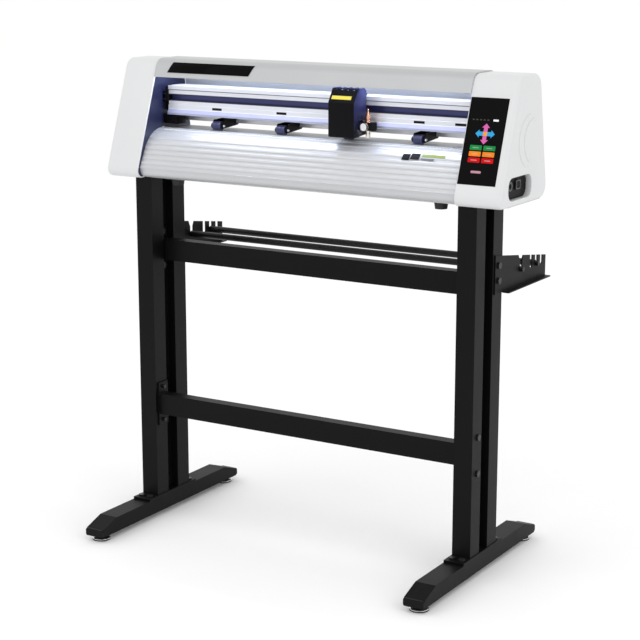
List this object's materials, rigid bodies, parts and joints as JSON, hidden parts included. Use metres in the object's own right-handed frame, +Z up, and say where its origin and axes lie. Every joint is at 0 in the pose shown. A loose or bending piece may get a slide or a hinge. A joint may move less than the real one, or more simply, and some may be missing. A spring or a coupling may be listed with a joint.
{
  "type": "vinyl cutting plotter",
  "caption": "Floor-standing vinyl cutter: white end covers, silver top, ribbed platen, rail-mounted blade carriage, touch screen and black steel stand with roll brackets.",
  "frame": {"origin": "centre of the bounding box on the floor, at the bottoms of the levelling feet", "axes": "+Z up, the working front faces -Y, +X is to the viewer's right when facing the front"},
  "size_m": [0.92, 0.522, 0.996],
  "materials": {
    "stand_black": "fine-textured black powder coat",
    "black_plastic": "moulded black",
    "black_bolt": "black oxide",
    "base_steel": "zinc plated sheet",
    "rubber_black": "soft black rubber",
    "plate_steel": "dark grey paint",
    "cover_white": "light grey-white moulding, fine satin",
    "top_silver": "satin silver",
    "platen_aluminium": "satin anodised",
    "strip_white": "white cutting strip",
    "rail_aluminium": "bright extruded",
    "belt_rubber": "toothed belt",
    "pulley_metal": "turned",
    "motor_black": "black motor case",
    "hood_black": "gloss black",
    "holder_brass": "copper-toned turned brass",
    "blade_steel": "ground carbide",
    "screw_steel": "polished",
    "shaft_steel": "ground steel",
    "gear_plastic": "natural acetal",
    "pinion_brass": "hobbed brass",
    "screen_glass": "black glass front",
    "board_green": "circuit board",
    "supply_case": "folded case",
    "rod_black": "black tube",
    "arm_black": "black sheet",
    "wheel_rubber": "ribbed rubber",
    "pad_black": "black pad"
  },
  "bodies": {
    "frame": {"left_foot": "stand_black", "right_foot": "stand_black", "foot_end_caps": "black_plastic", "left_leg": "stand_black", "right_leg": "stand_black", "stand_bolts": "black_bolt", "upper_beam": "stand_black", "lower_beam": "stand_black", "left_roll_bracket": "stand_black", "right_roll_bracket": "stand_black", "base_plate": "base_steel", "rubber_feet": "rubber_black", "left_side_plate": "plate_steel", "right_side_plate": "plate_steel", "left_end_cover": "cover_white", "right_end_cover": "cover_white", "top_cover": "top_silver", "rear_cover": "top_silver", "front_platen": "platen_aluminium", "rear_platen": "platen_aluminium", "cutting_strip": "strip_white", "carriage_rail": "rail_aluminium", "rail_mounts": "black_plastic", "drive_belt": "belt_rubber", "carriage_motor": "motor_black", "shaft_bearings": "shaft_steel", "feed_motor": "motor_black", "touch_screen": "screen_glass", "mainboard": "board_green", "power_supply": "supply_case", "io_panel": "black_plastic"},
    "leveler_front_left": {"leveling_foot_front_left": "pad_black"},
    "leveler_front_right": {"leveling_foot_front_right": "pad_black"},
    "leveler_rear_left": {"leveling_foot_rear_left": "pad_black"},
    "leveler_rear_right": {"leveling_foot_rear_right": "pad_black"},
    "front_rod": {"front_roll_rod": "rod_black"},
    "rear_rod": {"rear_roll_rod": "rod_black"},
    "carriage": {"carriage_plate": "plate_steel", "carriage_cover": "hood_black"},
    "tool": {"tool_arm": "black_plastic", "blade_holder": "holder_brass"},
    "blade": {"cutting_blade": "blade_steel"},
    "clamp_screw": {"thumbscrew": "screw_steel"},
    "motor_pulley": {"belt_pulley": "pulley_metal"},
    "idler": {"idler_pulley": "pulley_metal"},
    "feed_shaft": {"grit_shaft": "shaft_steel", "feed_gear": "gear_plastic"},
    "pinion": {"feed_pinion": "pinion_brass"},
    "lift": {"lift_shaft": "shaft_steel"},
    "lever": {"lift_lever": "black_plastic"},
    "rocker": {"power_switch": "black_plastic"},
    "arm_1": {"pinch_arm_1": "arm_black"},
    "wheel_1": {"pinch_wheel_1": "wheel_rubber"},
    "arm_2": {"pinch_arm_2": "arm_black"},
    "wheel_2": {"pinch_wheel_2": "wheel_rubber"},
    "arm_3": {"pinch_arm_3": "arm_black"},
    "wheel_3": {"pinch_wheel_3": "wheel_rubber"},
    "arm_4": {"pinch_arm_4": "arm_black"},
    "wheel_4": {"pinch_wheel_4": "wheel_rubber"}
  },
  "joints": [
    {"name": "leveler_front_left_turn", "type": "hinge", "parent": "frame", "child": "leveler_front_left", "pos_m": [-0.38, -0.236, 0], "axis": [0, 0, 1], "continuous": true},
    {"name": "leveler_front_right_turn", "type": "hinge", "parent": "frame", "child": "leveler_front_right", "pos_m": [0.38, -0.236, 0], "axis": [0, 0, 1], "continuous": true},
    {"name": "leveler_rear_left_turn", "type": "hinge", "parent": "frame", "child": "leveler_rear_left", "pos_m": [-0.38, 0.223, 0], "axis": [0, 0, 1], "continuous": true},
    {"name": "leveler_rear_right_turn", "type": "hinge", "parent": "frame", "child": "leveler_rear_right", "pos_m": [0.38, 0.223, 0], "axis": [0, 0, 1], "continuous": true},
    {"name": "front_rod_spin", "type": "hinge", "parent": "frame", "child": "front_rod", "pos_m": [0, 0.14, 0.598], "axis": [1, 0, 0], "continuous": true},
    {"name": "rear_rod_spin", "type": "hinge", "parent": "frame", "child": "rear_rod", "pos_m": [0, 0.214, 0.598], "axis": [1, 0, 0], "continuous": true},
    {"name": "carriage_travel", "type": "slide", "parent": "frame", "child": "carriage", "axis": [1, 0, 0], "range_m": [-0.425, 0.2]},
    {"name": "tool_lift", "type": "slide", "parent": "carriage", "child": "tool", "axis": [0, 0, 1], "range_m": [-0.0055, 0], "stiffness_N_per_m": 400, "springref_m": 0.006},
    {"name": "blade_swivel", "type": "hinge", "parent": "tool", "child": "blade", "pos_m": [0.134, -0.009, 0.86], "axis": [0, 0, 1], "continuous": true},
    {"name": "clamp_screw_turn", "type": "hinge", "parent": "tool", "child": "clamp_screw", "pos_m": [0.134, -0.021, 0.882], "axis": [0, -1, 0], "continuous": true},
    {"name": "motor_pulley_spin", "type": "hinge", "parent": "frame", "child": "motor_pulley", "pos_m": [0.4, 0.016, 0.914], "axis": [0, 1, 0], "continuous": true},
    {"name": "idler_spin", "type": "hinge", "parent": "frame", "child": "idler", "pos_m": [-0.397, 0.016, 0.914], "axis": [0, 1, 0], "continuous": true},
    {"name": "feed_shaft_spin", "type": "hinge", "parent": "frame", "child": "feed_shaft", "pos_m": [0, 0.011, 0.8403], "axis": [1, 0, 0], "continuous": true},
    {"name": "feed_pinion_spin", "type": "hinge", "parent": "frame", "child": "pinion", "pos_m": [0.37, 0.037, 0.8403], "axis": [1, 0, 0], "continuous": true},
    {"name": "pinch_lift", "type": "hinge", "parent": "frame", "child": "lift", "pos_m": [0, 0.063, 0.866], "axis": [-1, 0, 0], "range_deg": [0, 5]},
    {"name": "lift_lever_turn", "type": "hinge", "parent": "frame", "child": "lever", "pos_m": [-0.371, 0.085, 0.874], "axis": [-1, 0, 0], "range_deg": [0, 35]},
    {"name": "pinch_1_slide", "type": "slide", "parent": "lift", "child": "arm_1", "axis": [1, 0, 0], "range_m": [-0.085, 0.06]},
    {"name": "pinch_1_spin", "type": "hinge", "parent": "arm_1", "child": "wheel_1", "pos_m": [-0.237, 0.011, 0.8601], "axis": [1, 0, 0], "continuous": true},
    {"name": "pinch_2_slide", "type": "slide", "parent": "lift", "child": "arm_2", "axis": [1, 0, 0], "range_m": [-0.06, 0.06]},
    {"name": "pinch_2_spin", "type": "hinge", "parent": "arm_2", "child": "wheel_2", "pos_m": [-0.079, 0.011, 0.8601], "axis": [1, 0, 0], "continuous": true},
    {"name": "pinch_3_slide", "type": "slide", "parent": "lift", "child": "arm_3", "axis": [1, 0, 0], "range_m": [-0.06, 0.06]},
    {"name": "pinch_3_spin", "type": "hinge", "parent": "arm_3", "child": "wheel_3", "pos_m": [0.079, 0.011, 0.8601], "axis": [1, 0, 0], "continuous": true},
    {"name": "pinch_4_slide", "type": "slide", "parent": "lift", "child": "arm_4", "axis": [1, 0, 0], "range_m": [-0.06, 0.092]},
    {"name": "pinch_4_spin", "type": "hinge", "parent": "arm_4", "child": "wheel_4", "pos_m": [0.237, 0.011, 0.8601], "axis": [1, 0, 0], "continuous": true},
    {"name": "power_rocker", "type": "hinge", "parent": "frame", "child": "rocker", "pos_m": [0.448, 0.009, 0.788], "axis": [0, 0, 1], "range_deg": [-9, 0]}
  ],
  "couplings": [
    {"joint": "motor_pulley_spin", "follows": "carriage_travel", "rad_per_m": 166.67},
    {"joint": "idler_spin", "follows": "carriage_travel", "rad_per_m": 166.67},
    {"joint": "feed_pinion_spin", "follows": "feed_shaft_spin", "ratio": -3.3333},
    {"joint": "lift_lever_turn", "follows": "pinch_lift", "ratio": 7}
  ]
}
